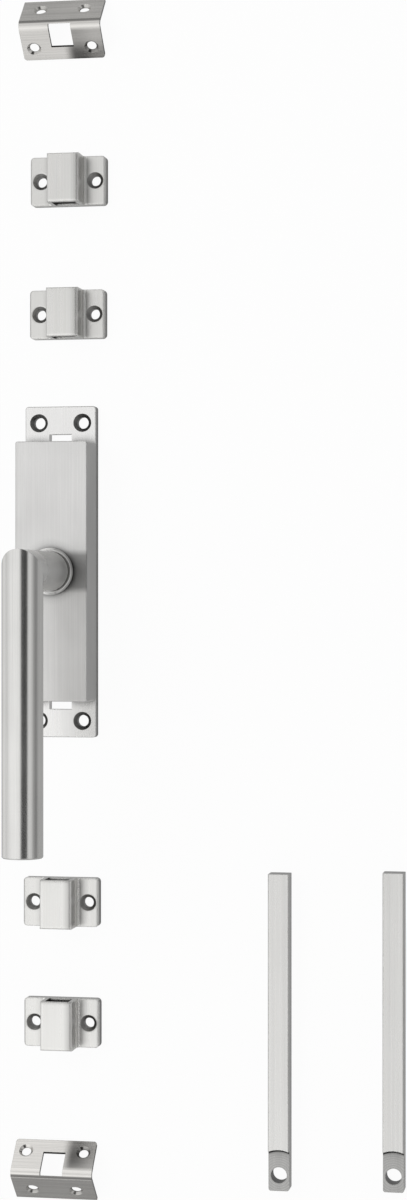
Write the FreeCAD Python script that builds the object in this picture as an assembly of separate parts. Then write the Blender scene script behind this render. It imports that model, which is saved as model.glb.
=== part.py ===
# Espagnolette bolt with an L lever handle, laid out as a fitting kit, in millimetres.
# The frame's origin is on the spindle axis, at the back face of the case.
# +X runs across the case, +Y along the bolt rods and +Z out of the door towards the lever.
# The case turns a pinion with the lever; two racks drive the upper and the lower rod apart or together.
import FreeCAD, Part
import math
import os

os.makedirs("parts", exist_ok=True)

# Clearances
RUN_GAP = 0.05        # radial gap of a turning or sliding round fit
SLIDE_GAP = 0.2       # gap of a flat part that slides along another
SEAT_GAP = 0.02       # gap of a fitted part that does not move in its seat
ROD_GAP = 0.3         # gap on each side of a rod in its channel
CUTTER = 1.0          # how far a cutting tool runs past the face that it opens

# Bolt rods
ROD_SIDE = 10.0
ROD_LENGTH = 150.6
ROD_EYE_RADIUS = 3.8
ROD_EYE_TO_END = 7.5
LUG_STEP = 2.2        # depth of the step in front of the eye
LUG_STEP_RADIUS = 12.4
ROD_EDGE = 0.4
LUG_CORNER = 1.2

# Back plate and case cover
BASE_THICK = 5.0      # the plate, and the flanges of the guides
PLATE_WIDTH = 35.0
PLATE_LENGTH = 160.0
PLATE_CORNER = 1.6
PLATE_EDGE = 0.4
PLATE_SCREW_X = 10.75
PLATE_SCREW_TO_END = 8.0
PLATE_SCREW_RADIUS = 2.8
PLATE_SINK_RADIUS = 4.4
PLATE_PAST_COVER = 18.0   # how far the plate shows past each end of the cover
WINDOW_PAST_COVER = 4.5
COVER_TOP = 25.0
COVER_WALL = 1.6
COVER_CORNER = 1.0
COVER_EDGE = 0.4

# Lever, spindle and collar
LEVER_RADIUS = 9.5
LEVER_AXIS_Z = 80.0
LEVER_END_Y = -131.0
LEVER_END_EDGE = 0.6
NECK_BASE_GAP = 0.5   # air between the collar and the neck's shoulder
NECK_CHAMFER = 1.3
SPIGOT_RADIUS = 7.8
SPINDLE_SIDE = 7.0
SPINDLE_EDGE = 0.5
SPINDLE_TOP = 64.0
GRUB_Z = 46.0
GRUB_RADIUS = 2.5
GRUB_HEX = 2.5        # across the flats of the screw's socket
COLLAR_RADIUS = 11.2
COLLAR_HEIGHT = 3.4
COLLAR_LIP = 1.0
BUSH_WALL = 0.95
CLIP_THICK = 0.9
CLIP_DEPTH = 1.15     # depth of the clip's groove in the spigot
CLIP_RADIUS = 9.0
CLIP_OPENING = 6.0

# Pinion and racks
MODULE = 1.0
PINION_TEETH = 16
PRESSURE_ANGLE = 20.0
TOOTH_GAP = 0.12      # backlash on each flank of a rack tooth
ADDENDUM = 1.0        # in modules
DEDENDUM = 1.25       # in modules
JOURNAL_RADIUS = 6.0
JOURNAL_DEPTH = 3.0
HUB_RADIUS = 7.0
RACK_TEETH = 12
RACK_TEETH_PAST = 2   # teeth beyond the spindle when the rod is out
STUD_RADIUS = 3.6
STUD_RIVET_RADIUS = 2.5
STUD_TO_COVER_END = 8.0   # when the rod is out
TONGUE_THICK = 2.0
TONGUE_LENGTH = 10.0
WINDOW_PAST_STUD = 5.0    # room beyond the stud when the rod is in
BRIDGE_THICK = 1.5
BRIDGE_END_GAP = 2.4
POST_X = 10.9
POST_TO_COVER_END = 12.0
POST_RADIUS = 3.2
POST_SHOULDER = 1.0
POST_SLEEVE_WALL = 0.75
COVER_SCREW_RADIUS = 1.6
COVER_SCREW_HEAD = 3.2
COVER_SCREW_LENGTH = 12.0
SCREW_SLOT = 0.8

# Rod guides
GUIDE_WIDTH = 37.4
GUIDE_LENGTH = 23.5
GUIDE_CORNER = 2.0
GUIDE_EDGE = 0.8
GUIDE_SIDE_GAP = 0.8  # gap on each side of a rod in its guide
GUIDE_WALL = 1.95
GUIDE_ROOF = 1.7
GUIDE_HUMP_ROUND = 1.0
GUIDE_HUMP_FILLET = 1.2
GUIDE_SCREW_SPACING = 26.7
GUIDE_SCREW_RADIUS = 2.5
GUIDE_SINK_RADIUS = 4.0

# Angle strike plates
STRIKE_LENGTH = 40.0
STRIKE_LEG = 20.0
STRIKE_THICK = 1.5
STRIKE_BEND_RADIUS = 3.5
STRIKE_CORNER = 1.5
STRIKE_CUT_WIDTH = 11.0
STRIKE_CUT_START = 0.8
STRIKE_CUT_END = 13.2
STRIKE_OUTER_HOLE = 12.6     # from the bend to the holes of the plain leg
STRIKE_OUTER_SPACING = 21.6
STRIKE_INNER_HOLE = 13.7     # from the bend to the holes of the cut leg
STRIKE_INNER_SPACING = 28.4
STRIKE_SCREW_RADIUS = 2.3
STRIKE_SINK_RADIUS = 3.4

# Places of the laid out pieces
GUIDE_PLACES = {
    "upper_outer_guide": (3.7, 188.9),
    "upper_inner_guide": (3.3, 124.5),
    "lower_inner_guide": (0.2, -159.7),
    "lower_outer_guide": (0.5, -218.0),
}
UPPER_STRIKE_PLACE = (1.2, 263.0)
LOWER_STRIKE_PLACE = (-2.8, -290.0)
UPPER_ROD_PLACE = (107.1, -294.5)
LOWER_ROD_PLACE = (161.7, -293.0)

# Sizes that follow from those above
COVER_LENGTH = PLATE_LENGTH - 2 * PLATE_PAST_COVER
PLATE_SCREW_Y = PLATE_LENGTH / 2 - PLATE_SCREW_TO_END
WINDOW_OUTER_Y = COVER_LENGTH / 2 + WINDOW_PAST_COVER
STUD_Y = COVER_LENGTH / 2 - STUD_TO_COVER_END
POST_Y = COVER_LENGTH / 2 - POST_TO_COVER_END
BRIDGE_LENGTH = COVER_LENGTH - 2 * (COVER_WALL + BRIDGE_END_GAP)
CHANNEL = ROD_SIDE + 2 * ROD_GAP
ROD_LEVEL = BASE_THICK + SLIDE_GAP
LUG_TOP = ROD_LEVEL + ROD_SIDE - LUG_STEP
TONGUE_BOTTOM = LUG_TOP + SLIDE_GAP / 2
RACK_TOP = TONGUE_BOTTOM + TONGUE_THICK
BRIDGE_BOTTOM = RACK_TOP + SLIDE_GAP
BRIDGE_TOP = BRIDGE_BOTTOM + BRIDGE_THICK
COVER_ROOF = COVER_TOP - COVER_WALL
COVER_INNER_X = PLATE_WIDTH / 2 - COVER_WALL
COLLAR_TOP = COVER_TOP + COLLAR_HEIGHT
NECK_BASE = COLLAR_TOP + NECK_BASE_GAP
COLLAR_BORE = SPIGOT_RADIUS + RUN_GAP + BUSH_WALL + SEAT_GAP
CLIP_TOP = COVER_ROOF - SLIDE_GAP
CLIP_BOTTOM = CLIP_TOP - CLIP_THICK
SPIGOT_BOTTOM = CLIP_BOTTOM - SLIDE_GAP - CLIP_THICK / 2
HUB_TOP = SPIGOT_BOTTOM - SLIDE_GAP
SPINDLE_BOTTOM = BASE_THICK - JOURNAL_DEPTH + SLIDE_GAP * 2
SOCKET_SIDE = SPINDLE_SIDE + 2 * RUN_GAP
PITCH_RADIUS = MODULE * PINION_TEETH / 2
TIP_RADIUS = PITCH_RADIUS + ADDENDUM * MODULE
ROOT_RADIUS = PITCH_RADIUS - DEDENDUM * MODULE
PITCH = math.pi * MODULE
TRAVEL = math.pi * PITCH_RADIUS
WINDOW_INNER_Y = STUD_Y - TRAVEL - WINDOW_PAST_STUD
RACK_BACK = COVER_INNER_X - SLIDE_GAP
GUIDE_CHANNEL = ROD_SIDE + 2 * GUIDE_SIDE_GAP
GUIDE_HUMP_WIDTH = GUIDE_CHANNEL + 2 * GUIDE_WALL
GUIDE_TOP = BASE_THICK + CHANNEL + GUIDE_ROOF


def vector(x, y, z):
    return FreeCAD.Vector(x, y, z)


def block(x_low, x_high, y_low, y_high, z_low, z_high):
    """A box between two corners."""
    size = (x_high - x_low, y_high - y_low, z_high - z_low)
    return Part.makeBox(*size, vector(x_low, y_low, z_low))


def post(radius, z_low, z_high, x=0.0, y=0.0):
    """A cylinder that stands along Z."""
    return Part.makeCylinder(radius, z_high - z_low, vector(x, y, z_low))


def square_bar(side, z_low, z_high):
    """A square bar that stands along Z on the spindle axis."""
    return block(-side / 2, side / 2, -side / 2, side / 2, z_low, z_high)


def edges_along(shape, axis):
    """The straight edges that run along one axis: 0 for X, 1 for Y, 2 for Z."""
    found = []
    for edge in shape.Edges:
        if not isinstance(edge.Curve, Part.Line):
            continue
        direction = edge.tangentAt(edge.FirstParameter)
        if abs(abs(direction[axis]) - 1) < 1e-6:
            found.append(edge)
    return found


def edges_at_height(shape, z):
    """The edges that lie wholly at one height."""
    return [e for e in shape.Edges if abs(e.BoundBox.ZMin - z) < 1e-4 and abs(e.BoundBox.ZMax - z) < 1e-4]


def screw_hole(place, outward, depth, hole_radius, sink_radius):
    """The tool for a through hole with a 90 degree countersink in the face at place."""
    start = place + outward * CUTTER
    hole = Part.makeCylinder(hole_radius, depth + 2 * CUTTER, start, outward * -1)
    sink_depth = sink_radius - hole_radius
    sink = Part.makeCone(sink_radius, hole_radius, sink_depth, place, outward * -1)
    mouth = Part.makeCylinder(sink_radius, CUTTER, start, outward * -1)
    return hole.fuse([sink, mouth])


def rounded_plate(width, length, thick, corner):
    """A flat plate with rounded corners, centred on the origin."""
    plate = block(-width / 2, width / 2, -length / 2, length / 2, 0, thick)
    return plate.makeFillet(corner, edges_along(plate, 2))


def make_back_plate():
    """The plate that is screwed to the door, with a window for each rod's eye and the pinion's seat."""
    plate = rounded_plate(PLATE_WIDTH, PLATE_LENGTH, BASE_THICK, PLATE_CORNER)
    plate = plate.makeChamfer(PLATE_EDGE, edges_at_height(plate, BASE_THICK))
    tools = []
    for x in (-PLATE_SCREW_X, PLATE_SCREW_X):
        for y in (-PLATE_SCREW_Y, PLATE_SCREW_Y):
            tools.append(screw_hole(vector(x, y, BASE_THICK), vector(0, 0, 1), BASE_THICK,
                                    PLATE_SCREW_RADIUS, PLATE_SINK_RADIUS))
    half = STRIKE_CUT_WIDTH / 2
    for side in (-1, 1):
        ends = sorted((side * WINDOW_INNER_Y, side * WINDOW_OUTER_Y))
        tools.append(block(-half, half, ends[0], ends[1], -CUTTER, BASE_THICK + CUTTER))
        tools.append(screw_hole(vector(side * POST_X, side * POST_Y, 0), vector(0, 0, -1), BASE_THICK,
                                COVER_SCREW_RADIUS + RUN_GAP, COVER_SCREW_HEAD + RUN_GAP))
    seat = post(JOURNAL_RADIUS + RUN_GAP, BASE_THICK - JOURNAL_DEPTH, BASE_THICK + CUTTER)
    tools.append(seat)
    return plate.cut(tools)


def make_case_cover():
    """The box shaped cover with a mouth for a rod in each end and two screw posts inside."""
    half_x = PLATE_WIDTH / 2
    half_y = COVER_LENGTH / 2
    shell = block(-half_x, half_x, -half_y, half_y, BASE_THICK, COVER_TOP)
    shell = shell.makeFillet(COVER_CORNER, edges_along(shell, 2))
    shell = shell.makeChamfer(COVER_EDGE, edges_at_height(shell, COVER_TOP))
    inner_y = half_y - COVER_WALL
    hollow = block(-COVER_INNER_X, COVER_INNER_X, -inner_y, inner_y, BASE_THICK - CUTTER, COVER_ROOF)
    mouth = block(-CHANNEL / 2, CHANNEL / 2, -half_y - CUTTER, half_y + CUTTER,
                  BASE_THICK - CUTTER, BASE_THICK + CHANNEL)
    shell = shell.cut([hollow, mouth, post(COLLAR_BORE, COVER_ROOF - CUTTER, COVER_TOP + CUTTER)])
    posts = []
    holes = []
    for side in (-1, 1):
        x = side * POST_X
        y = side * POST_Y
        posts.append(post(POST_RADIUS, BASE_THICK, COVER_ROOF, x, y))
        posts.append(post(POST_RADIUS + POST_SHOULDER, BRIDGE_TOP + RUN_GAP, COVER_ROOF, x, y))
        holes.append(post(COVER_SCREW_RADIUS + SEAT_GAP, BASE_THICK - CUTTER, COVER_SCREW_LENGTH + CUTTER, x, y))
    return shell.fuse(posts).cut(holes).removeSplitter()


def make_cover_collar():
    """The raised ring round the lever's neck; the bush pins it to the cover."""
    ring = post(COLLAR_RADIUS, COVER_TOP, COLLAR_TOP)
    ring = ring.makeChamfer(COLLAR_LIP, edges_at_height(ring, COLLAR_TOP))
    return ring.cut(post(COLLAR_BORE, COVER_TOP - CUTTER, COLLAR_TOP + CUTTER))


def make_lever_bush():
    """The dark plastic ring in which the lever's neck turns."""
    ring = post(COLLAR_BORE - SEAT_GAP, COVER_ROOF, COLLAR_TOP - COLLAR_LIP)
    return ring.cut(post(SPIGOT_RADIUS + RUN_GAP, COVER_ROOF - CUTTER, COLLAR_TOP))


def mitre_space(side):
    """The half space on one side of the lever's mitre, which runs through the crossing of the two axes."""
    reach = 3 * abs(LEVER_END_Y)
    space = Part.makeBox(reach, reach, reach, vector(-reach / 2, -reach / 2, 0))
    if side < 0:
        space.translate(vector(0, 0, -reach))
    space.rotate(vector(0, 0, 0), vector(1, 0, 0), 45)
    space.translate(vector(0, 0, LEVER_AXIS_Z))
    return space


def make_lever_handle():
    """The round L lever: a grip along the rods and a neck along the spindle, joined in a mitre."""
    past = 2 * LEVER_RADIUS
    grip = Part.makeCylinder(LEVER_RADIUS, past - LEVER_END_Y, vector(0, LEVER_END_Y, LEVER_AXIS_Z), vector(0, 1, 0))
    end_edge = [e for e in grip.Edges if abs(e.BoundBox.YMax - LEVER_END_Y) < 1e-4]
    grip = grip.makeChamfer(LEVER_END_EDGE, end_edge)
    grip = grip.common(mitre_space(1))
    neck_top = LEVER_AXIS_Z + past
    neck = post(LEVER_RADIUS, NECK_BASE + NECK_CHAMFER, neck_top).common(mitre_space(-1))
    shoulder = Part.makeCone(LEVER_RADIUS - NECK_CHAMFER, LEVER_RADIUS, NECK_CHAMFER, vector(0, 0, NECK_BASE))
    spigot = post(SPIGOT_RADIUS, SPIGOT_BOTTOM, NECK_BASE)
    lever = grip.fuse([neck, shoulder, spigot]).removeSplitter()
    groove = post(SPIGOT_RADIUS + CUTTER, CLIP_BOTTOM - SEAT_GAP, CLIP_TOP + SEAT_GAP)
    groove = groove.cut(post(SPIGOT_RADIUS - CLIP_DEPTH, CLIP_BOTTOM - CUTTER, CLIP_TOP + CUTTER))
    socket = square_bar(SOCKET_SIDE, SPIGOT_BOTTOM - CUTTER, SPINDLE_TOP + SLIDE_GAP)
    thread = Part.makeCylinder(GRUB_RADIUS, past, vector(0, 0, GRUB_Z), vector(0, -1, 0))
    return lever.cut([groove, socket, thread])


def make_square_spindle():
    """The square bar that carries the lever's turn to the pinion."""
    bar = square_bar(SPINDLE_SIDE, SPINDLE_BOTTOM, SPINDLE_TOP)
    return bar.makeChamfer(SPINDLE_EDGE, edges_along(bar, 2))


def make_lever_grub_screw():
    """The socket screw that holds the lever on the spindle, on the side hidden under the grip."""
    tip = SPINDLE_SIDE / 2 + SEAT_GAP
    length = LEVER_RADIUS - 2 * CUTTER - tip
    screw = Part.makeCylinder(GRUB_RADIUS - SEAT_GAP, length, vector(0, -tip, GRUB_Z), vector(0, -1, 0))
    corner = GRUB_HEX / math.sqrt(3)
    outer = -tip - length
    corners = []
    for step in range(7):
        angle = math.radians(60 * step)
        corners.append(vector(corner * math.cos(angle), outer, GRUB_Z + corner * math.sin(angle)))
    socket = Part.Face(Part.makePolygon(corners)).extrude(vector(0, length / 2, 0))
    return screw.cut(socket)


def make_lever_circlip():
    """The open spring ring that keeps the lever's neck in the cover."""
    ring = post(CLIP_RADIUS, CLIP_BOTTOM, CLIP_TOP)
    inner = SPIGOT_RADIUS - CLIP_DEPTH + SEAT_GAP
    bore = post(inner, CLIP_BOTTOM - CUTTER, CLIP_TOP + CUTTER)
    half = CLIP_OPENING / 2
    opening = block(-half, half, 0, CLIP_RADIUS + CUTTER, CLIP_BOTTOM - CUTTER, CLIP_TOP + CUTTER)
    return ring.cut([bore, opening])


def involute(angle):
    return math.tan(angle) - angle


def flank_point(radius, side, centre_angle):
    """A point of a pinion tooth's involute flank at one radius."""
    pressure = math.radians(PRESSURE_ANGLE)
    base_radius = PITCH_RADIUS * math.cos(pressure)
    half_angle = math.pi / 2 / PINION_TEETH + involute(pressure)
    if radius > base_radius:
        half_angle -= involute(math.acos(base_radius / radius))
    angle = centre_angle + side * half_angle
    return vector(radius * math.cos(angle), radius * math.sin(angle), 0)


def pinion_outline():
    """The closed outline of all the pinion's teeth."""
    base_radius = PITCH_RADIUS * math.cos(math.radians(PRESSURE_ANGLE))
    middle_radius = (base_radius + TIP_RADIUS) / 2
    step = 2 * math.pi / PINION_TEETH
    edges = []
    for tooth in range(PINION_TEETH):
        centre = tooth * step
        root_up = flank_point(ROOT_RADIUS, -1, centre)
        foot_up = flank_point(base_radius, -1, centre)
        tip_up = flank_point(TIP_RADIUS, -1, centre)
        tip_down = flank_point(TIP_RADIUS, 1, centre)
        foot_down = flank_point(base_radius, 1, centre)
        root_down = flank_point(ROOT_RADIUS, 1, centre)
        next_root = flank_point(ROOT_RADIUS, -1, centre + step)
        edges.append(Part.makeLine(root_up, foot_up))
        edges.append(Part.Arc(foot_up, flank_point(middle_radius, -1, centre), tip_up).toShape())
        edges.append(Part.makeLine(tip_up, tip_down))
        edges.append(Part.Arc(tip_down, flank_point(middle_radius, 1, centre), foot_down).toShape())
        edges.append(Part.makeLine(foot_down, root_down))
        edges.append(Part.makeLine(root_down, next_root))
    return Part.Wire(edges)


def make_pinion():
    """The toothed wheel on the spindle, with a journal in the plate and a hub in the bridge."""
    teeth_bottom = ROD_LEVEL + SLIDE_GAP
    teeth_top = RACK_TOP - SLIDE_GAP
    wheel = Part.Face(pinion_outline()).extrude(vector(0, 0, teeth_top - teeth_bottom))
    wheel.translate(vector(0, 0, teeth_bottom))
    journal = post(JOURNAL_RADIUS, SPINDLE_BOTTOM - SLIDE_GAP, teeth_bottom)
    hub = post(HUB_RADIUS, teeth_top, HUB_TOP)
    socket = square_bar(SOCKET_SIDE, 0, HUB_TOP + CUTTER)
    return wheel.fuse([journal, hub]).cut(socket).removeSplitter()


def rack_outline():
    """The outline of the lower rack's toothed bar, seen along Z, with its teeth towards the pinion."""
    slope = math.tan(math.radians(PRESSURE_ANGLE))
    tip_x = PITCH_RADIUS - ADDENDUM * MODULE
    root_x = PITCH_RADIUS + DEDENDUM * MODULE
    half_pitch_width = PITCH / 4 - TOOTH_GAP
    half_tip = half_pitch_width - ADDENDUM * MODULE * slope
    half_root = half_pitch_width + DEDENDUM * MODULE * slope
    top_y = RACK_TEETH_PAST * PITCH
    points = [vector(RACK_BACK, top_y, 0), vector(root_x, top_y, 0)]
    for tooth in range(RACK_TEETH):
        y = top_y - (tooth + 0.5) * PITCH
        points.append(vector(root_x, y + half_root, 0))
        points.append(vector(tip_x, y + half_tip, 0))
        points.append(vector(tip_x, y - half_tip, 0))
        points.append(vector(root_x, y - half_root, 0))
    end_y = -STUD_Y - TONGUE_LENGTH / 2
    points.append(vector(root_x, end_y, 0))
    points.append(vector(RACK_BACK, end_y, 0))
    points.append(points[0])
    return Part.makePolygon(points)


def make_lower_rack():
    """The rack of the lower rod: a toothed bar and a tongue that reaches over the rod's eye."""
    bar = Part.Face(rack_outline()).extrude(vector(0, 0, RACK_TOP - ROD_LEVEL))
    bar.translate(vector(0, 0, ROD_LEVEL))
    half = TONGUE_LENGTH / 2
    tongue = block(0, RACK_BACK, -STUD_Y - half, -STUD_Y + half, TONGUE_BOTTOM, RACK_TOP)
    nose = post(half, TONGUE_BOTTOM, RACK_TOP, 0, -STUD_Y)
    rivet_hole = post(STUD_RIVET_RADIUS + SEAT_GAP, TONGUE_BOTTOM - CUTTER, RACK_TOP + CUTTER, 0, -STUD_Y)
    return bar.fuse([tongue, nose]).cut(rivet_hole).removeSplitter()


def make_lower_rack_stud():
    """The stud on the rack's tongue that the rod's eye hooks onto."""
    stud = post(STUD_RADIUS, ROD_LEVEL + SLIDE_GAP, TONGUE_BOTTOM, 0, -STUD_Y)
    return stud.fuse(post(STUD_RIVET_RADIUS, TONGUE_BOTTOM, RACK_TOP, 0, -STUD_Y))


def turned_half_round(shape):
    """The same piece turned half a turn about the spindle axis."""
    turned = shape.copy()
    turned.rotate(vector(0, 0, 0), vector(0, 0, 1), 180)
    return turned


def make_bearing_bridge():
    """The inner plate that holds the racks down, steadies the pinion's hub and stands on two sleeves."""
    half_x = COVER_INNER_X - SLIDE_GAP
    plate = block(-half_x, half_x, -BRIDGE_LENGTH / 2, BRIDGE_LENGTH / 2, BRIDGE_BOTTOM, BRIDGE_TOP)
    sleeves = []
    holes = [post(HUB_RADIUS + RUN_GAP, BRIDGE_BOTTOM - CUTTER, BRIDGE_TOP + CUTTER)]
    for side in (-1, 1):
        x = side * POST_X
        y = side * POST_Y
        bore = POST_RADIUS + RUN_GAP
        sleeves.append(post(bore + POST_SLEEVE_WALL, BASE_THICK, BRIDGE_BOTTOM, x, y))
        holes.append(post(bore, 0, BRIDGE_TOP + CUTTER, x, y))
    return plate.fuse(sleeves).cut(holes)


def make_cover_screws():
    """The two countersunk screws that fix the cover from the back of the plate."""
    screws = []
    for side in (-1, 1):
        x = side * POST_X
        y = side * POST_Y
        shank = post(COVER_SCREW_RADIUS, 0, COVER_SCREW_LENGTH, x, y)
        head_depth = COVER_SCREW_HEAD - COVER_SCREW_RADIUS
        head = Part.makeCone(COVER_SCREW_HEAD, COVER_SCREW_RADIUS, head_depth, vector(x, y, 0))
        half = SCREW_SLOT / 2
        slot = block(x - COVER_SCREW_HEAD, x + COVER_SCREW_HEAD, y - half, y + half, -CUTTER, head_depth / 2)
        screws.append(shank.fuse(head).cut(slot))
    return Part.makeCompound(screws)


def make_rod():
    """A square bolt rod lying on its back, with a stepped lug and an eye at its lower end."""
    half = ROD_SIDE / 2
    bar = block(-half, half, 0, ROD_LENGTH, 0, ROD_SIDE)
    lug_edges = [e for e in edges_along(bar, 2) if abs(e.BoundBox.YMax) < 1e-4]
    bar = bar.makeFillet(LUG_CORNER, lug_edges)
    bar = bar.makeChamfer(ROD_EDGE, edges_along(bar, 1))
    floor = ROD_SIDE - LUG_STEP
    step = post(LUG_STEP_RADIUS, floor, ROD_SIDE + CUTTER, 0, ROD_EYE_TO_END)
    end_step = block(-ROD_SIDE, ROD_SIDE, -CUTTER, ROD_EYE_TO_END, floor, ROD_SIDE + CUTTER)
    hole = post(ROD_EYE_RADIUS, -CUTTER, ROD_SIDE, 0, ROD_EYE_TO_END)
    return bar.cut([step, end_step, hole])


def make_guide(centre_x, centre_y):
    """A rod guide: two screwed flanges and a hump with a square channel along Y."""
    half_x = GUIDE_WIDTH / 2
    half_y = GUIDE_LENGTH / 2
    half_hump = GUIDE_HUMP_WIDTH / 2
    base = block(-half_x, half_x, -half_y, half_y, 0, BASE_THICK)
    end_edges = [e for e in edges_along(base, 1) if abs(e.BoundBox.ZMin - BASE_THICK) < 1e-4]
    base = base.makeChamfer(GUIDE_EDGE, end_edges)
    base = base.makeFillet(GUIDE_CORNER, edges_along(base, 2))
    hump = block(-half_hump, half_hump, -half_y, half_y, 0, GUIDE_TOP)
    hump = hump.makeFillet(GUIDE_HUMP_ROUND, edges_at_height(hump, GUIDE_TOP))
    body = base.fuse(hump).removeSplitter()
    inner_edges = []
    for edge in edges_along(body, 1):
        at_hump = abs(abs(edge.BoundBox.Center.x) - half_hump) < 1e-4
        if at_hump and abs(edge.BoundBox.ZMin - BASE_THICK) < 1e-4:
            inner_edges.append(edge)
    body = body.makeFillet(GUIDE_HUMP_FILLET, inner_edges)
    half = GUIDE_CHANNEL / 2
    tools = [block(-half, half, -half_y - CUTTER, half_y + CUTTER, BASE_THICK, BASE_THICK + CHANNEL)]
    for side in (-1, 1):
        place = vector(side * GUIDE_SCREW_SPACING / 2, 0, BASE_THICK)
        tools.append(screw_hole(place, vector(0, 0, 1), BASE_THICK, GUIDE_SCREW_RADIUS, GUIDE_SINK_RADIUS))
    body = body.cut(tools)
    body.translate(vector(centre_x, centre_y, 0))
    return body


def strike_point(along_cut_leg, along_plain_leg):
    """A point of the strike's section, measured from the sharp corner along each leg; the corner is up."""
    root_two = math.sqrt(2)
    corner_z = (STRIKE_LEG + STRIKE_THICK) / root_two
    y = (along_plain_leg - along_cut_leg) / root_two
    z = corner_z - (along_cut_leg + along_plain_leg) / root_two
    return vector(0, y, z)


def strike_section():
    """The bent section of a strike, standing on the edges of its two legs like a roof."""
    bend = STRIKE_BEND_RADIUS
    thick = STRIKE_THICK
    outer_middle = bend * (1 - math.sqrt(0.5))
    inner_middle = bend - (bend - thick) * math.sqrt(0.5)
    edges = [
        Part.makeLine(strike_point(bend, 0), strike_point(STRIKE_LEG, 0)),
        Part.makeLine(strike_point(STRIKE_LEG, 0), strike_point(STRIKE_LEG, thick)),
        Part.makeLine(strike_point(STRIKE_LEG, thick), strike_point(bend, thick)),
        Part.Arc(strike_point(bend, thick), strike_point(inner_middle, inner_middle),
                 strike_point(thick, bend)).toShape(),
        Part.makeLine(strike_point(thick, bend), strike_point(thick, STRIKE_LEG)),
        Part.makeLine(strike_point(thick, STRIKE_LEG), strike_point(0, STRIKE_LEG)),
        Part.makeLine(strike_point(0, STRIKE_LEG), strike_point(0, bend)),
        Part.Arc(strike_point(0, bend), strike_point(outer_middle, outer_middle),
                 strike_point(bend, 0)).toShape(),
    ]
    return Part.Face(Part.Wire(edges))


def make_strike():
    """An angle strike plate; the leg on the case's side has the cut-out that the rod shoots into."""
    half = STRIKE_LENGTH / 2
    angle = strike_section().extrude(vector(STRIKE_LENGTH, 0, 0))
    angle.translate(vector(-half, 0, 0))
    low = strike_point(STRIKE_LEG, STRIKE_THICK).z
    corner_edges = []
    for edge in angle.Edges:
        middle = edge.BoundBox.Center
        short = abs(edge.Length - STRIKE_THICK) < 1e-4
        if short and middle.y < 0 and middle.z < low + STRIKE_THICK:
            corner_edges.append(edge)
    angle = angle.makeFillet(STRIKE_CORNER, corner_edges)
    cut_half = STRIKE_CUT_WIDTH / 2
    cut_depth = STRIKE_THICK + STRIKE_BEND_RADIUS / 3
    cut_corners = [strike_point(STRIKE_CUT_START, -CUTTER), strike_point(STRIKE_CUT_END, -CUTTER),
                   strike_point(STRIKE_CUT_END, cut_depth), strike_point(STRIKE_CUT_START, cut_depth)]
    cut = Part.Face(Part.makePolygon(cut_corners + cut_corners[:1])).extrude(vector(STRIKE_CUT_WIDTH, 0, 0))
    cut.translate(vector(-cut_half, 0, 0))
    tools = [cut]
    root_half = math.sqrt(0.5)
    for side in (-1, 1):
        inner = strike_point(STRIKE_INNER_HOLE, 0) + vector(side * STRIKE_INNER_SPACING / 2, 0, 0)
        outer = strike_point(0, STRIKE_OUTER_HOLE) + vector(side * STRIKE_OUTER_SPACING / 2, 0, 0)
        tools.append(screw_hole(inner, vector(0, -root_half, root_half), STRIKE_THICK,
                                STRIKE_SCREW_RADIUS, STRIKE_SINK_RADIUS))
        tools.append(screw_hole(outer, vector(0, root_half, root_half), STRIKE_THICK,
                                STRIKE_SCREW_RADIUS, STRIKE_SINK_RADIUS))
    return angle.cut(tools)


def placed(shape, place):
    """A copy of a piece moved to its place in the layout."""
    moved = shape.copy()
    moved.translate(vector(place[0], place[1], 0))
    return moved


def write(name, shape):
    """One STEP file for one piece."""
    shape.exportStep("parts/" + name + ".step")
    print(name, "valid", shape.isValid(), "solids", len(shape.Solids), "volume", round(shape.Volume, 1))


lower_rack = make_lower_rack()
lower_stud = make_lower_rack_stud()
strike = make_strike()
rod = make_rod()

write("back_plate", make_back_plate())
write("case_cover", make_case_cover())
write("cover_collar", make_cover_collar())
write("lever_bush", make_lever_bush())
write("bearing_bridge", make_bearing_bridge())
write("cover_screws", make_cover_screws())
write("lever_handle", make_lever_handle())
write("square_spindle", make_square_spindle())
write("lever_grub_screw", make_lever_grub_screw())
write("lever_circlip", make_lever_circlip())
write("pinion", make_pinion())
write("lower_rack", lower_rack)
write("lower_rack_stud", lower_stud)
write("upper_rack", turned_half_round(lower_rack))
write("upper_rack_stud", turned_half_round(lower_stud))
write("upper_rod", placed(rod, UPPER_ROD_PLACE))
write("lower_rod", placed(rod, LOWER_ROD_PLACE))
write("upper_strike_plate", placed(strike, UPPER_STRIKE_PLACE))
write("lower_strike_plate", placed(turned_half_round(strike), LOWER_STRIKE_PLACE))
for guide_name, (guide_x, guide_y) in GUIDE_PLACES.items():
    write(guide_name, make_guide(guide_x, guide_y))
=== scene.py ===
import bpy
import math
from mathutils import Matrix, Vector


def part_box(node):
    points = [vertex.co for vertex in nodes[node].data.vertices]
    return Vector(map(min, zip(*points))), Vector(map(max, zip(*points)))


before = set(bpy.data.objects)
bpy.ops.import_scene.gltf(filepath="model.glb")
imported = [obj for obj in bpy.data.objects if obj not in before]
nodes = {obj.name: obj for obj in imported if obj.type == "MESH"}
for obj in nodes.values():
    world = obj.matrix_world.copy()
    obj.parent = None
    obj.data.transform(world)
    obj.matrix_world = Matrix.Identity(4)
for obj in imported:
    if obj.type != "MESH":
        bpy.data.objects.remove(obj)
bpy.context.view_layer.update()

# This file gives the bolt its materials, floor, studio and camera, and adds no shape to it


# Places and sizes on the object, in metres in the shared frame at rest

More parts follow.
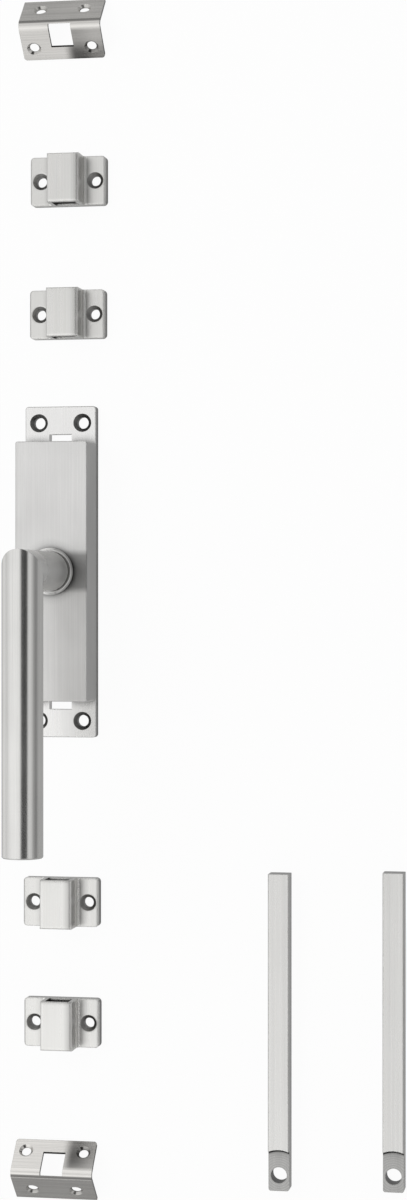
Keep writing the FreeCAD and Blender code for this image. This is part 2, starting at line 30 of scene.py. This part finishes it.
PLATE_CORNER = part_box("back_plate")[1]
PLATE_HOLE_X = PLATE_CORNER.x - 0.00675
PLATE_HOLE_Y = PLATE_CORNER.y - 0.008
PLATE_HOLES = [(x, y) for x in (-PLATE_HOLE_X, PLATE_HOLE_X) for y in (-PLATE_HOLE_Y, PLATE_HOLE_Y)]
PLATE_HOLE_REACH = 0.0045      # a little past the countersink's radius
PLATE_EDGE_X = PLATE_CORNER.x - 0.001    # only the plate's edges lie further out
WINDOW_REACH_X = 0.0056        # a little past half the window's width
WINDOW_START_Y = 0.01          # past the bore for the pinion

COVER_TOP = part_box("case_cover")[1].z
COLLAR_RING_RADIUS = (0.0102, 0.0108)    # where the collar's painted bright inner ring ends
NECK_BEND_Z = (0.066, 0.070)             # where the lever's neck meets its grip

GUIDES = ("upper_outer_guide", "upper_inner_guide", "lower_inner_guide", "lower_outer_guide")
GUIDE_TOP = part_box(GUIDES[0])[1].z
GUIDE_FLANGE_TOP = PLATE_CORNER.z        # the flanges are as thick as the plate
GUIDE_HOLE_X = 0.01335         # from a guide's middle to its screw holes
GUIDE_HOLE_REACH = 0.0041
GUIDE_CHANNEL_REACH = 0.0059   # a little past half the channel's width
GUIDE_CHANNEL_LOW = GUIDE_FLANGE_TOP + 0.0002
GUIDE_CHANNEL_HIGH = GUIDE_TOP - 0.0016
GUIDE_END_X = 0.018            # only the guide's two end faces lie further out
GUIDE_FOOT_X = 0.0087          # from a guide's middle to the fillet at the foot of its hump, where the painted glint runs

RODS = ("upper_rod", "lower_rod")
ROD_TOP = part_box(RODS[0])[1].z
ROD_EYE_TO_END = 0.0075
ROD_EYE_REACH = 0.004
STEP_SHADOW_RADIUS = 0.0120      # from the eye to the painted shadow line at the foot of the milled step
MILL_PITCH = 0.0011            # between the milling marks round the eye

STRIKE_APEX_Z = 0.0152         # where the outer faces of a strike's two legs would meet
STRIKE_SHEET = (0.0001, 0.0014)          # depths inside the sheet
CUT_OUT_END = 0.0132           # from the apex to the far end of the cut-out, along the leg
CUT_OUT_END_REACH = 0.0003
CUT_OUT_HALF_REACH = 0.010     # the cut-out's side walls are nearer to the middle than this

STRIKES = {
    "upper_strike": {
        "cut_side": -1.0,              # the leg with the cut-out lies on this side of the ridge
        "line": 0.0017,                # from the ridge to the painted dark line at the bend, along Y
        "painted_reflection": (0.0048, -0.0130),    # from the ridge's middle to the painted dark reflection beside a screw hole
        "leg_light_tones": (0.97, 1.00),     # painted light on the two legs, below the line and above it
    },
    "lower_strike": {
        "cut_side": 1.0,
        "line": -0.0010,
        "painted_reflection": (0.0083, 0.0075),
        "leg_light_tones": (0.75, 1.10),
    },
}


def middle(node_name):
    low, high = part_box(node_name)
    return (low + high) / 2


def rod_eye_place(rod):
    return middle(rod).x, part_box(rod)[0].y + ROD_EYE_TO_END


def strike_apex(node_name):
    """The middle of the line where the outer faces of a strike's legs, both at 45 degrees, would meet."""
    apex = middle(node_name)
    apex.z = STRIKE_APEX_Z
    return apex


ROD_EYES = [rod_eye_place(rod) for rod in RODS]


# Node graph helpers

def add(tree, kind, **settings):
    node = tree.nodes.new(kind)
    for key, value in settings.items():
        setattr(node, key, value)
    return node


def feed(tree, sockets, values):
    """Sets each socket to its number or colour, or links it to the output that its value comes from."""
    for socket, value in zip(sockets, values):
        if isinstance(value, (float, tuple)):
            socket.default_value = value
        else:
            tree.links.new(value, socket)


def unary(tree, operation, value):
    node = add(tree, "ShaderNodeMath", operation=operation)
    tree.links.new(value, node.inputs[0])
    return node.outputs[0]


def chain(tree, operation, first, *others):
    """One operation on the first value and each of the others in turn."""
    result = first
    for other in others:
        node = add(tree, "ShaderNodeMath", operation=operation)
        feed(tree, node.inputs, (result, other))
        result = node.outputs[0]
    return result


def product(tree, *values):
    return chain(tree, "MULTIPLY", *values)


def absolute(tree, value):
    return unary(tree, "ABSOLUTE", value)


def away_from(tree, value, place):
    return absolute(tree, chain(tree, "SUBTRACT", value, place))


def ramp(tree, value, span, ends=(0.0, 1.0), soft=False):
    """Goes from the first end to the second while a value crosses a span, and stays level outside it."""
    node = add(tree, "ShaderNodeMapRange", interpolation_type="SMOOTHSTEP" if soft else "LINEAR")
    feed(tree, node.inputs, (value, *span, *ends))
    return node.outputs["Result"]


def xyz(tree, vector):
    split = add(tree, "ShaderNodeSeparateXYZ")
    tree.links.new(vector, split.inputs[0])
    return split.outputs


def object_place(tree):
    """A point's coordinates in the shared frame at rest, where each node's object has its origin."""
    return xyz(tree, add(tree, "ShaderNodeTexCoord").outputs["Object"])


def facing_right(tree):
    """How far a face of a piece points right, from -1 to 1."""
    return xyz(tree, add(tree, "ShaderNodeTexCoord").outputs["Normal"])[0]


def distance(tree, x, y, axis):
    """How far a point is from an upright axis, which is given by its own x and y."""
    squares = []
    for value, axis_value in zip((x, y), axis):
        off = chain(tree, "SUBTRACT", value, axis_value)
        squares.append(product(tree, off, off))
    return unary(tree, "SQRT", chain(tree, "ADD", *squares))


def noise(tree, per_metre, detail=3.0, roughness=0.5):
    """Noise in the object's own coordinates, with so many features per metre along each axis."""
    mapping = add(tree, "ShaderNodeMapping")
    mapping.inputs["Scale"].default_value = per_metre
    tree.links.new(add(tree, "ShaderNodeTexCoord").outputs["Object"], mapping.inputs["Vector"])
    texture = add(tree, "ShaderNodeTexNoise")
    texture.inputs["Scale"].default_value = 1.0
    texture.inputs["Detail"].default_value = detail
    texture.inputs["Roughness"].default_value = roughness
    tree.links.new(mapping.outputs["Vector"], texture.inputs["Vector"])
    return texture.outputs["Fac"]


def mix_colour(tree, factor, first, second):
    node = add(tree, "ShaderNodeMix", data_type="RGBA")
    tree.links.new(factor, node.inputs[0])
    node.inputs[6].default_value = (*first, 1.0)
    node.inputs[7].default_value = (*second, 1.0)
    return node.outputs[2]


def times(tree, colour, factor):
    """A colour darkened or brightened by a grey factor."""
    grey = add(tree, "ShaderNodeCombineColor")
    for socket in grey.inputs:
        tree.links.new(factor, socket)
    tint = add(tree, "ShaderNodeMix", data_type="RGBA", blend_type="MULTIPLY")
    tint.inputs[0].default_value = 1.0
    tree.links.new(colour, tint.inputs[6])
    tree.links.new(grey.outputs[0], tint.inputs[7])
    return tint.outputs[2]


# Materials

NOISE_MIDDLE = (0.3, 0.7)      # most of a noise's values lie in this span
LINES_ALONG = 14.0             # brush lines per metre, along them and across them
LINES_ACROSS = 2400.0
COARSE_LINES = 0.22            # the number of coarse lines, as a share of the fine ones
FINE_SHARE = 0.6               # the fine lines' share of the brushed relief and tone
CORNER_REACH = 0.005           # painted shade darkens corners and holes within this distance
CORNER_SHADE_TONE = 0.12
TOP_SHADE = 1.2                # no painted shade brightens a colour more than this
BRUSH_DEPTH = 0.00006
TOOL_MARK_DEPTH = 0.00003


def new_material(name):
    material = bpy.data.materials.new(name)
    material.use_nodes = True
    tree = material.node_tree
    return material, tree, tree.nodes["Principled BSDF"]


def raise_surface(tree, shader, height, strength, depth, normal=None):
    """Small relief from a height, on top of a normal where one is given."""
    relief = add(tree, "ShaderNodeBump")
    relief.inputs["Strength"].default_value = strength
    relief.inputs["Distance"].default_value = depth
    tree.links.new(height, relief.inputs["Height"])
    if normal is not None:
        tree.links.new(normal, relief.inputs["Normal"])
    tree.links.new(relief.outputs["Normal"], shader.inputs["Normal"])


def painted_recess_shade(tree):
    """Painted shade: a factor that falls from one on open faces to a low value deep in holes and corners.
    """
    hidden = add(tree, "ShaderNodeAmbientOcclusion", samples=8)
    hidden.inputs["Distance"].default_value = CORNER_REACH
    return ramp(tree, hidden.outputs["AO"], (0.35, 0.95), (CORNER_SHADE_TONE, 1.0))


def brushed_steel(name, colour, roughness, along, grain=0.35, bump=0.25, blotch=0.04, edge=0.0003,
                  shade_change=None, spread=0.7, rough_change=None):
    """Satin steel with its brush lines along one axis, a slow unevenness, painted shade in corners and
    holes, any painted light and shade given for the piece, and softly broken edges.
    """
    material, tree, shader = new_material(name)
    streaks = tuple(LINES_ALONG if axis == along else LINES_ACROSS for axis in "XYZ")
    fine = noise(tree, streaks, detail=2.0, roughness=0.6)
    coarse = noise(tree, tuple(count * COARSE_LINES for count in streaks), detail=3.0, roughness=0.55)
    slow = noise(tree, (45.0, 30.0, 45.0), detail=2.0)
    lines = chain(tree, "ADD", product(tree, fine, FINE_SHARE), product(tree, coarse, 1.0 - FINE_SHARE))
    dark = tuple(c * (1.0 - grain * 0.35) for c in colour)
    light = tuple(min(c * (1.0 + grain * 0.2), 0.95) for c in colour)
    base = mix_colour(tree, ramp(tree, lines, NOISE_MIDDLE), dark, light)
    uneven = ramp(tree, slow, NOISE_MIDDLE, (1.0 - blotch, 1.0 + blotch))
    # the slow unevenness is the steel's own tone; painted shade in corners and holes and the piece's
    # painted light and shade come on top
    shade = product(tree, uneven, painted_recess_shade(tree))
    if shade_change:
        shade = chain(tree, "MINIMUM", product(tree, shade, shade_change(tree)), TOP_SHADE)
    tree.links.new(times(tree, base, shade), shader.inputs["Base Color"])
    worn = chain(tree, "ADD", coarse, product(tree, slow, 0.5))
    rough = ramp(tree, worn, (0.5, 1.0), (roughness - 0.04, roughness + 0.06))
    if rough_change:
        rough = chain(tree, "ADD", rough, rough_change(tree))
    tree.links.new(rough, shader.inputs["Roughness"])
    shader.inputs["Metallic"].default_value = 1.0
    # reflections spread across the brush lines
    lay = add(tree, "ShaderNodeCombineXYZ")
    for socket, axis in zip(lay.inputs, "XYZ"):
        socket.default_value = 1.0 if axis == along else 0.02
    tree.links.new(lay.outputs[0], shader.inputs["Tangent"])
    shader.inputs["Anisotropic"].default_value = spread
    shader.inputs["Anisotropic Rotation"].default_value = 0.25
    soft_edge = add(tree, "ShaderNodeBevel", samples=4)
    soft_edge.inputs["Radius"].default_value = edge
    raise_surface(tree, shader, lines, bump, BRUSH_DEPTH, soft_edge.outputs["Normal"])
    return material


def machined_steel(name, colour, roughness):
    """Plain machined steel with faint tool marks and a film of oil."""
    material, tree, shader = new_material(name)
    marks = noise(tree, (900.0, 900.0, 300.0), detail=4.0, roughness=0.6)
    film = noise(tree, (90.0, 90.0, 90.0))
    base = mix_colour(tree, ramp(tree, marks, NOISE_MIDDLE), tuple(c * 0.82 for c in colour), colour)
    tree.links.new(base, shader.inputs["Base Color"])
    rough = ramp(tree, film, NOISE_MIDDLE, (roughness - 0.06, roughness + 0.08))
    tree.links.new(rough, shader.inputs["Roughness"])
    shader.inputs["Metallic"].default_value = 1.0
    raise_surface(tree, shader, marks, 0.2, TOOL_MARK_DEPTH)
    return material


def nylon(name):
    """Dark moulded nylon with a fine grain."""
    material, tree, shader = new_material(name)
    grain = noise(tree, (1500.0, 1500.0, 1500.0))
    base = mix_colour(tree, ramp(tree, grain, NOISE_MIDDLE), (0.012, 0.012, 0.013), (0.03, 0.03, 0.032))
    tree.links.new(base, shader.inputs["Base Color"])
    rough = ramp(tree, grain, NOISE_MIDDLE, (0.42, 0.55))
    tree.links.new(rough, shader.inputs["Roughness"])
    raise_surface(tree, shader, grain, 0.15, TOOL_MARK_DEPTH)
    return material


# Painted shades, highlights and reflections, each a factor on the colour, and the blur of the lever's neck

COLLAR_HIGHLIGHT = 1.15             # painted highlight on the collar's inner half


def cover_shade(tree):
    """A painted reflection of the lever's neck darkens the cover beside it, between the collar and the
    cover's edge, and painted shade darkens the side walls.
    """
    x, y, z = object_place(tree)
    past_neck = ramp(tree, absolute(tree, y), (0.0075, 0.0105))
    in_collar = ramp(tree, absolute(tree, x), (0.006, 0.010), (1.0, 0.0))
    under_top = ramp(tree, z, (COVER_TOP - 0.0010, COVER_TOP - 0.0005), (1.0, 0.0))
    clear = chain(tree, "MAXIMUM", past_neck, in_collar, under_top)
    # painted reflection of the neck, darker beside it
    neck_reflection = ramp(tree, clear, (0.0, 1.0), (0.53, 1.0))
    # painted shade on the side walls
    side_wall = ramp(tree, absolute(tree, facing_right(tree)), (0.5, 0.9), (1.0, 0.76))
    return product(tree, neck_reflection, side_wall)


def collar_shade(tree):
    """Painted shade dims the collar's outer half on the right, which leaves a thin painted highlight ring
    inside it.
    """
    x, y, _ = object_place(tree)
    outer = ramp(tree, distance(tree, x, y, (0.0, 0.0)), COLLAR_RING_RADIUS, soft=True)
    right = ramp(tree, x, (0.002, 0.008), (0.0, 0.6))
    return chain(tree, "SUBTRACT", COLLAR_HIGHLIGHT, product(tree, outer, right))


def rod_shade(tree):
    """The top is brighter than the milled step, painted shade darkens the sides, and a painted shadow line
    marks the step's foot.
    """
    x, y, z = object_place(tree)
    from_eye = chain(tree, "MINIMUM", *[distance(tree, x, y, eye) for eye in ROD_EYES])
    # painted shadow in the corner at the step's foot
    step_shadow_line = ramp(tree, away_from(tree, from_eye, STEP_SHADOW_RADIUS), (0.0006, 0.0010), (0.12, 1.0))
    waves = unary(tree, "SINE", product(tree, from_eye, 2.0 * math.pi / MILL_PITCH))
    mill_marks = ramp(tree, waves, (-1.0, 1.0), (0.52, 0.62))
    step = product(tree, step_shadow_line, mill_marks)
    # the top, brighter than the milled step and the painted shade on the sides
    top = ramp(tree, z, (ROD_TOP - 0.0014, ROD_TOP - 0.0006))
    # painted shade on the sides
    side_wall = ramp(tree, absolute(tree, facing_right(tree)), (0.8, 0.9), (0.0, 0.85))
    return chain(tree, "MAXIMUM", top, step, side_wall)


def strike_shade(apex, strike):
    """A painted dark reflection beside one screw hole, a painted dark line at the bend, and painted light
    that gives the legs unequal tone.
    """
    reflection_x = apex.x + strike["painted_reflection"][0]
    reflection_y = apex.y + strike["painted_reflection"][1]
    line_y = apex.y + strike["line"]

    def shade(tree):
        x, y, _ = object_place(tree)
        past_line = product(tree, chain(tree, "SUBTRACT", y, line_y), strike["cut_side"])
        starts = ramp(tree, x, (reflection_x - 0.005, reflection_x + 0.001), soft=True)
        fades = ramp(tree, x, (reflection_x + 0.001, reflection_x + 0.013), (1.0, 0.6), soft=True)
        across = ramp(tree, away_from(tree, y, reflection_y), (0.001, 0.007), (0.8, 0.45), soft=True)
        # the painted reflection keeps off the bright bend
        off_bend = ramp(tree, past_line, (0.0030, 0.0050), soft=True)
        painted_reflection = chain(tree, "SUBTRACT", 1.0, product(tree, starts, fades, across, off_bend))
        # painted dark line at the bend
        line = ramp(tree, absolute(tree, past_line), (0.0004, 0.0010), (0.28, 1.0))
        # painted light, unequal on the two legs
        leg = ramp(tree, y, (line_y - 0.0003, line_y + 0.0003), strike["leg_light_tones"])
        return product(tree, painted_reflection, line, leg)
    return shade


def guide_shade(middle_x):
    """Painted shade fades the hump's top to the right, painted light brightens its right wall, and a
    painted glint runs along the foot.
    """
    def shade(tree):
        x, y, z = object_place(tree)
        facing = facing_right(tree)
        off_middle = chain(tree, "SUBTRACT", x, middle_x)
        # painted shade towards the hump's right edge
        edge_shade = ramp(tree, off_middle, (0.0034, 0.0068), (0.0, 0.28), soft=True)
        high = ramp(tree, z, (GUIDE_TOP - 0.0023, GUIDE_TOP - 0.0008))
        level = ramp(tree, facing, (0.15, 0.6), (1.0, 0.0))
        top = chain(tree, "SUBTRACT", 1.0, product(tree, edge_shade, high, level))
        # painted light on the right wall, more on the lower guides
        right_wall = ramp(tree, facing, (0.6, 0.9))
        above_foot = ramp(tree, z, (GUIDE_FLANGE_TOP + 0.0005, GUIDE_FLANGE_TOP + 0.0015))
        wall_light_share = ramp(tree, y, (-0.2, 0.2), (1.25, 0.15))
        wall = product(tree, right_wall, above_foot, wall_light_share)
        off_foot = away_from(tree, absolute(tree, off_middle), GUIDE_FOOT_X)
        # painted glint along the fillet at the foot
        glint = ramp(tree, off_foot, (0.0002, 0.0006), (1.8, 0.0))
        over_flange = ramp(tree, z, (GUIDE_FLANGE_TOP - 0.0003, GUIDE_FLANGE_TOP - 0.0001))
        under_wall = ramp(tree, z, (GUIDE_FLANGE_TOP + 0.0008, GUIDE_FLANGE_TOP + 0.0016), (1.0, 0.0))
        foot = product(tree, glint, over_flange, under_wall)
        return chain(tree, "ADD", top, wall, foot)
    return shade


def neck_blur(tree):
    """The lever's neck is brushed round and scatters more than its long grip."""
    return ramp(tree, object_place(tree)[2], NECK_BEND_Z, (0.2, 0.0))


# A material on each node

def dress(material, *node_names, angle=35.0):
    """One material on whole nodes, with their edges sharp where faces meet at more than an angle."""
    for node_name in node_names:
        mesh = nodes[node_name].data
        mesh.materials.clear()
        mesh.materials.append(material)
        mesh.shade_smooth()
        mesh.set_sharp_from_angle(angle=math.radians(angle))


cover_steel = brushed_steel("cover_steel", (0.80, 0.795, 0.785), 0.32, "Y", grain=0.3, blotch=0.07,
                            shade_change=cover_shade)
plate_steel = brushed_steel("plate_steel", (0.90, 0.895, 0.885), 0.26, "Y", grain=0.25, spread=0.5)
lever_steel = brushed_steel("lever_steel", (0.72, 0.715, 0.70), 0.20, "Y", grain=0.3, bump=0.12,
                            spread=0.0, rough_change=neck_blur)
rod_steel = brushed_steel("rod_steel", (0.725, 0.72, 0.705), 0.26, "Y", grain=0.14,
                          shade_change=rod_shade)
collar_steel = brushed_steel("collar_steel", (0.82, 0.815, 0.80), 0.15, "X", grain=0.12, bump=0.05,
                             spread=0.0, shade_change=collar_shade)
# bored faces of the plate's holes and the rods' eyes: a darker finish of their own, with painted shade on
# top
bored_and_shaded_steel = machined_steel("bored_and_shaded_steel", (0.20, 0.198, 0.194), 0.34)
# the guides' screw holes and the inside of their channels: machined finish, darkened as painted shade
guide_bore_shaded_steel = machined_steel("guide_bore_shaded_steel", (0.30, 0.296, 0.288), 0.34)
sheared_steel = machined_steel("sheared_steel", (0.34, 0.335, 0.33), 0.42)
# a near black painted shadow for the walls of the strikes' cut-outs
cut_end_shadow_steel = machined_steel("cut_end_shadow_steel", (0.055, 0.053, 0.050), 0.42)
# pale painted light on the side walls of the plate's window
window_lit_steel = machined_steel("window_lit_steel", (0.92, 0.915, 0.90), 0.30)
inner_steel = machined_steel("inner_steel", (0.50, 0.50, 0.50), 0.34)
spring_steel = machined_steel("spring_steel", (0.30, 0.30, 0.31), 0.30)
screw_steel = machined_steel("screw_steel", (0.62, 0.62, 0.61), 0.28)
black_nylon = nylon("black_nylon")

dress(cover_steel, "case_cover")
dress(plate_steel, "back_plate")
dress(collar_steel, "cover_collar", angle=50.0)
dress(black_nylon, "lever_bush")
dress(lever_steel, "lever_handle")
dress(spring_steel, "lever_circlip")
dress(screw_steel, "cover_screws", "lever_grub_screw")
dress(inner_steel, "bearing_bridge", "square_spindle", "pinion")
dress(inner_steel, "upper_rack", "upper_rack_stud", "lower_rack", "lower_rack_stud")
dress(rod_steel, *RODS)

for name, strike in STRIKES.items():
    node_name = name + "_plate"
    strike_steel = brushed_steel(name + "_steel", (0.70, 0.685, 0.66), 0.21, "X", grain=0.5, spread=0.5,
                                 shade_change=strike_shade(strike_apex(node_name), strike))
    dress(strike_steel, node_name)

for guide in GUIDES:
    guide_steel = brushed_steel(guide + "_steel", (0.78, 0.775, 0.755), 0.28, "Y", grain=0.14, edge=0.0013,
                                spread=0.5, shade_change=guide_shade(middle(guide).x))
    dress(guide_steel, guide, angle=50.0)


# Further materials on bored, cut and sheared faces, with painted shade in holes, the guides' channels and
# the strikes' cut-outs, and painted light on the window's walls

UPRIGHT = 0.3                  # the normal of an upright wall has less than this along Z
WALL_OR_CONE = 0.8             # the normal of a wall or a countersink has less than this along Z
SIDEWAYS = 0.8                 # the normal of an end face has more than this along X
ENDWAYS = 0.5                  # the normal of the face round a channel's mouth has more than this along Y


def dress_faces(node_name, material, chosen):
    """A further material on the faces that a test picks by their centre and normal in the shared frame."""
    mesh = nodes[node_name].data
    mesh.materials.append(material)
    index = len(mesh.materials) - 1
    for face in mesh.polygons:
        if chosen(face.center, face.normal):
            face.material_index = index


def near_hole(centre, holes, reach):
    return any((centre.x - x) ** 2 + (centre.y - y) ** 2 < reach ** 2 for x, y in holes)


def plate_hole(centre, normal):
    return abs(normal.z) < WALL_OR_CONE and near_hole(centre, PLATE_HOLES, PLATE_HOLE_REACH)


def plate_edge(centre, normal):
    return abs(normal.z) < UPRIGHT and abs(centre.x) > PLATE_EDGE_X


def plate_window(centre, normal):
    between = abs(centre.x) < WINDOW_REACH_X and abs(centre.y) > WINDOW_START_Y
    return abs(normal.z) < UPRIGHT and between


def rod_eye(centre, normal):
    return abs(normal.z) < UPRIGHT and near_hole(centre, ROD_EYES, ROD_EYE_REACH)


def strike_end(centre, normal):
    return abs(normal.x) > SIDEWAYS


def dress_guide_faces(guide):
    at = middle(guide)
    holes = [(at.x - GUIDE_HOLE_X, at.y), (at.x + GUIDE_HOLE_X, at.y)]

    def bore(centre, normal):
        in_hole = abs(normal.z) < WALL_OR_CONE and near_hole(centre, holes, GUIDE_HOLE_REACH)
        in_channel = (abs(centre.x - at.x) < GUIDE_CHANNEL_REACH and abs(normal.y) < ENDWAYS
                      and GUIDE_CHANNEL_LOW < centre.z < GUIDE_CHANNEL_HIGH)
        return in_hole or in_channel

    def end(centre, normal):
        return abs(normal.x) > SIDEWAYS and abs(centre.x - at.x) > GUIDE_END_X

    dress_faces(guide, guide_bore_shaded_steel, bore)
    dress_faces(guide, sheared_steel, end)


def dress_strike_faces(node_name, cut_side):
    """Both legs lie at 45 degrees, so a point's place on them comes from its run and its drop."""
    apex = strike_apex(node_name)

    def cut_out(centre, normal):
        run = (centre.y - apex.y) * cut_side
        drop = apex.z - centre.z
        along_leg = (drop + run) * math.sqrt(0.5)
        depth = (drop - run) * math.sqrt(0.5)
        in_sheet = STRIKE_SHEET[0] < depth < STRIKE_SHEET[1]
        # facets of the screw holes and of the leg's ends that lie as far from the ridge get the painted
        # shadow too
        end_wall = in_sheet and abs(along_leg - CUT_OUT_END) < CUT_OUT_END_REACH
        side_wall = abs(normal.x) > SIDEWAYS and abs(centre.x - apex.x) < CUT_OUT_HALF_REACH
        return end_wall or side_wall

    dress_faces(node_name, sheared_steel, strike_end)
    dress_faces(node_name, cut_end_shadow_steel, cut_out)


for guide in GUIDES:
    dress_guide_faces(guide)
dress_faces("back_plate", bored_and_shaded_steel, plate_hole)
dress_faces("back_plate", sheared_steel, plate_edge)
dress_faces("back_plate", window_lit_steel, plate_window)
for rod in RODS:
    dress_faces(rod, bored_and_shaded_steel, rod_eye)
for name, strike in STRIKES.items():
    dress_strike_faces(name + "_plate", strike["cut_side"])


# Floor, studio and camera

FLOOR_Z = -0.0002
FLOOR_REACH = 4.0
WHITE = (1.0, 1.0, 1.0, 1.0)
LAMP_PLACE = (-0.55, 0.35, 1.1)
CAMERA_PLACE = (0.28396, -0.01362, 1.2)
CAMERA_TURN = (0.0, 0.177, 0.0)
CAMERA_LENS = 76.05            # millimetres, on a sensor of 36


def blend_shaders(tree, share, first, second):
    node = add(tree, "ShaderNodeMixShader")
    feed(tree, node.inputs, (share, first, second))
    return node.outputs[0]


def glow(tree, strength):
    node = add(tree, "ShaderNodeEmission")
    feed(tree, node.inputs, (WHITE, strength))
    return node.outputs[0]


def floor_white():
    """White to the camera, and to the metal that mirrors it bright on the left and dim on the right."""
    material = bpy.data.materials.new("floor_white")
    material.use_nodes = True
    tree = material.node_tree
    tree.nodes.clear()
    rays = add(tree, "ShaderNodeLightPath").outputs
    lit = add(tree, "ShaderNodeBsdfDiffuse")
    lit.inputs["Color"].default_value = (0.6, 0.6, 0.6, 1.0)
    seen = blend_shaders(tree, product(tree, rays["Is Camera Ray"], 0.96), lit.outputs[0], glow(tree, 1.0))
    x = xyz(tree, add(tree, "ShaderNodeNewGeometry").outputs["Position"])[0]
    left = ramp(tree, x, (-0.19, -0.07), (0.95, 0.46))
    right = ramp(tree, x, (0.3, 0.4), (1.0, 0.55))
    # light that metal has mirrored more than once finds an even floor
    again = chain(tree, "GREATER_THAN", rays["Glossy Depth"], 1.5)
    level = chain(tree, "MAXIMUM", product(tree, left, right), product(tree, again, 0.95))
    mirrored_share = product(tree, rays["Is Glossy Ray"], 0.8)
    surface = blend_shaders(tree, mirrored_share, seen, glow(tree, level))
    output = add(tree, "ShaderNodeOutputMaterial")
    tree.links.new(surface, output.inputs["Surface"])
    return material


def add_object(name, data, place):
    added = bpy.data.objects.new(name, data)
    added.location = place
    bpy.context.scene.collection.objects.link(added)
    return added


def make_floor():
    mesh = bpy.data.meshes.new("floor")
    signs = ((-1, -1), (1, -1), (1, 1), (-1, 1))
    corners = [(x * FLOOR_REACH, y * FLOOR_REACH, FLOOR_Z) for x, y in signs]
    mesh.from_pydata(corners, [], [(0, 1, 2, 3)])
    mesh.materials.append(floor_white())
    floor = add_object("floor", mesh, (0.0, 0.0, 0.0))


# The panels' brightness by degrees to the right of overhead, round the Y axis
STUDIO_PANELS = ((-180, 0.6), (-110, 0.8), (-80, 0.98), (0, 1.03), (8, 0.05), (38, 0.05), (44, 0.78),
                 (61, 0.8), (69, 0.62), (79, 0.46), (91, 0.34), (100, 0.32), (180, 0.45))


def panel_tone(tree, x, z):
    turn = ramp(tree, chain(tree, "ARCTAN2", x, z), (-math.pi, math.pi))
    panels = add(tree, "ShaderNodeValToRGB")
    elements = panels.color_ramp.elements
    elements.remove(elements[-1])
    for degrees, tone in STUDIO_PANELS:
        place = (degrees + 180.0) / 360.0
        element = elements.new(place) if place > 0.0 else elements[0]
        element.color = (tone, tone, tone, 1.0)
    tree.links.new(turn, panels.inputs[0])
    return panels.outputs[0]


def make_world():
    """A studio of soft panels: bright overhead and to the left, with a dark gap between two panels."""
    world = bpy.data.worlds.new("studio")
    bpy.context.scene.world = world
    world.use_nodes = True
    tree = world.node_tree
    tree.nodes.clear()
    x, y, z = xyz(tree, add(tree, "ShaderNodeTexCoord").outputs["Generated"])
    # the gap between the panels ends beyond the object, where a dimmer panel closes it
    past_gap = ramp(tree, absolute(tree, y), (0.28, 0.45), (0.0, 0.45))
    tone = chain(tree, "MAXIMUM", panel_tone(tree, x, z), past_gap)
    height = ramp(tree, z, (0.0, 0.6), (0.75, 1.0))
    far = ramp(tree, absolute(tree, y), (0.6, 0.9))
    low = ramp(tree, z, (0.02, 0.14), (1.0, 0.0))
    horizon = ramp(tree, product(tree, far, low), (0.0, 1.0), (1.0, 0.25))
    along = ramp(tree, y, (-0.25, 0.25), (1.18, 0.84))
    end_panel = ramp(tree, y, (0.5, 0.9), (1.0, 1.45))
    panels = product(tree, tone, height, horizon, along, end_panel)
    rays = add(tree, "ShaderNodeLightPath")
    shown = add(tree, "ShaderNodeMix", data_type="FLOAT")
    tree.links.new(rays.outputs["Is Camera Ray"], shown.inputs["Factor"])
    tree.links.new(panels, shown.inputs["A"])
    shown.inputs["B"].default_value = 1.0
    background = add(tree, "ShaderNodeBackground")
    feed(tree, background.inputs, (WHITE, shown.outputs["Result"]))
    output = add(tree, "ShaderNodeOutputWorld")
    tree.links.new(background.outputs[0], output.inputs["Surface"])


def make_lamp():
    """A round lamp that points at the origin and isn't mirrored in the metal."""
    data = bpy.data.lights.new("key", "AREA")
    data.shape = "DISK"
    data.size = 0.7
    data.energy = 6.0
    lamp = add_object("key", data, LAMP_PLACE)
    lamp.rotation_euler = (-Vector(LAMP_PLACE)).to_track_quat("-Z", "Y").to_euler()
    lamp.visible_glossy = False


def make_camera():
    data = bpy.data.cameras.new("camera")
    data.sensor_fit = "AUTO"
    data.sensor_width = 36.0
    data.lens = CAMERA_LENS
    camera = add_object("camera", data, CAMERA_PLACE)
    camera.rotation_euler = CAMERA_TURN
    bpy.context.scene.camera = camera


make_floor()
make_world()
make_lamp()
make_camera()
bpy.context.scene.view_settings.view_transform = "Standard"
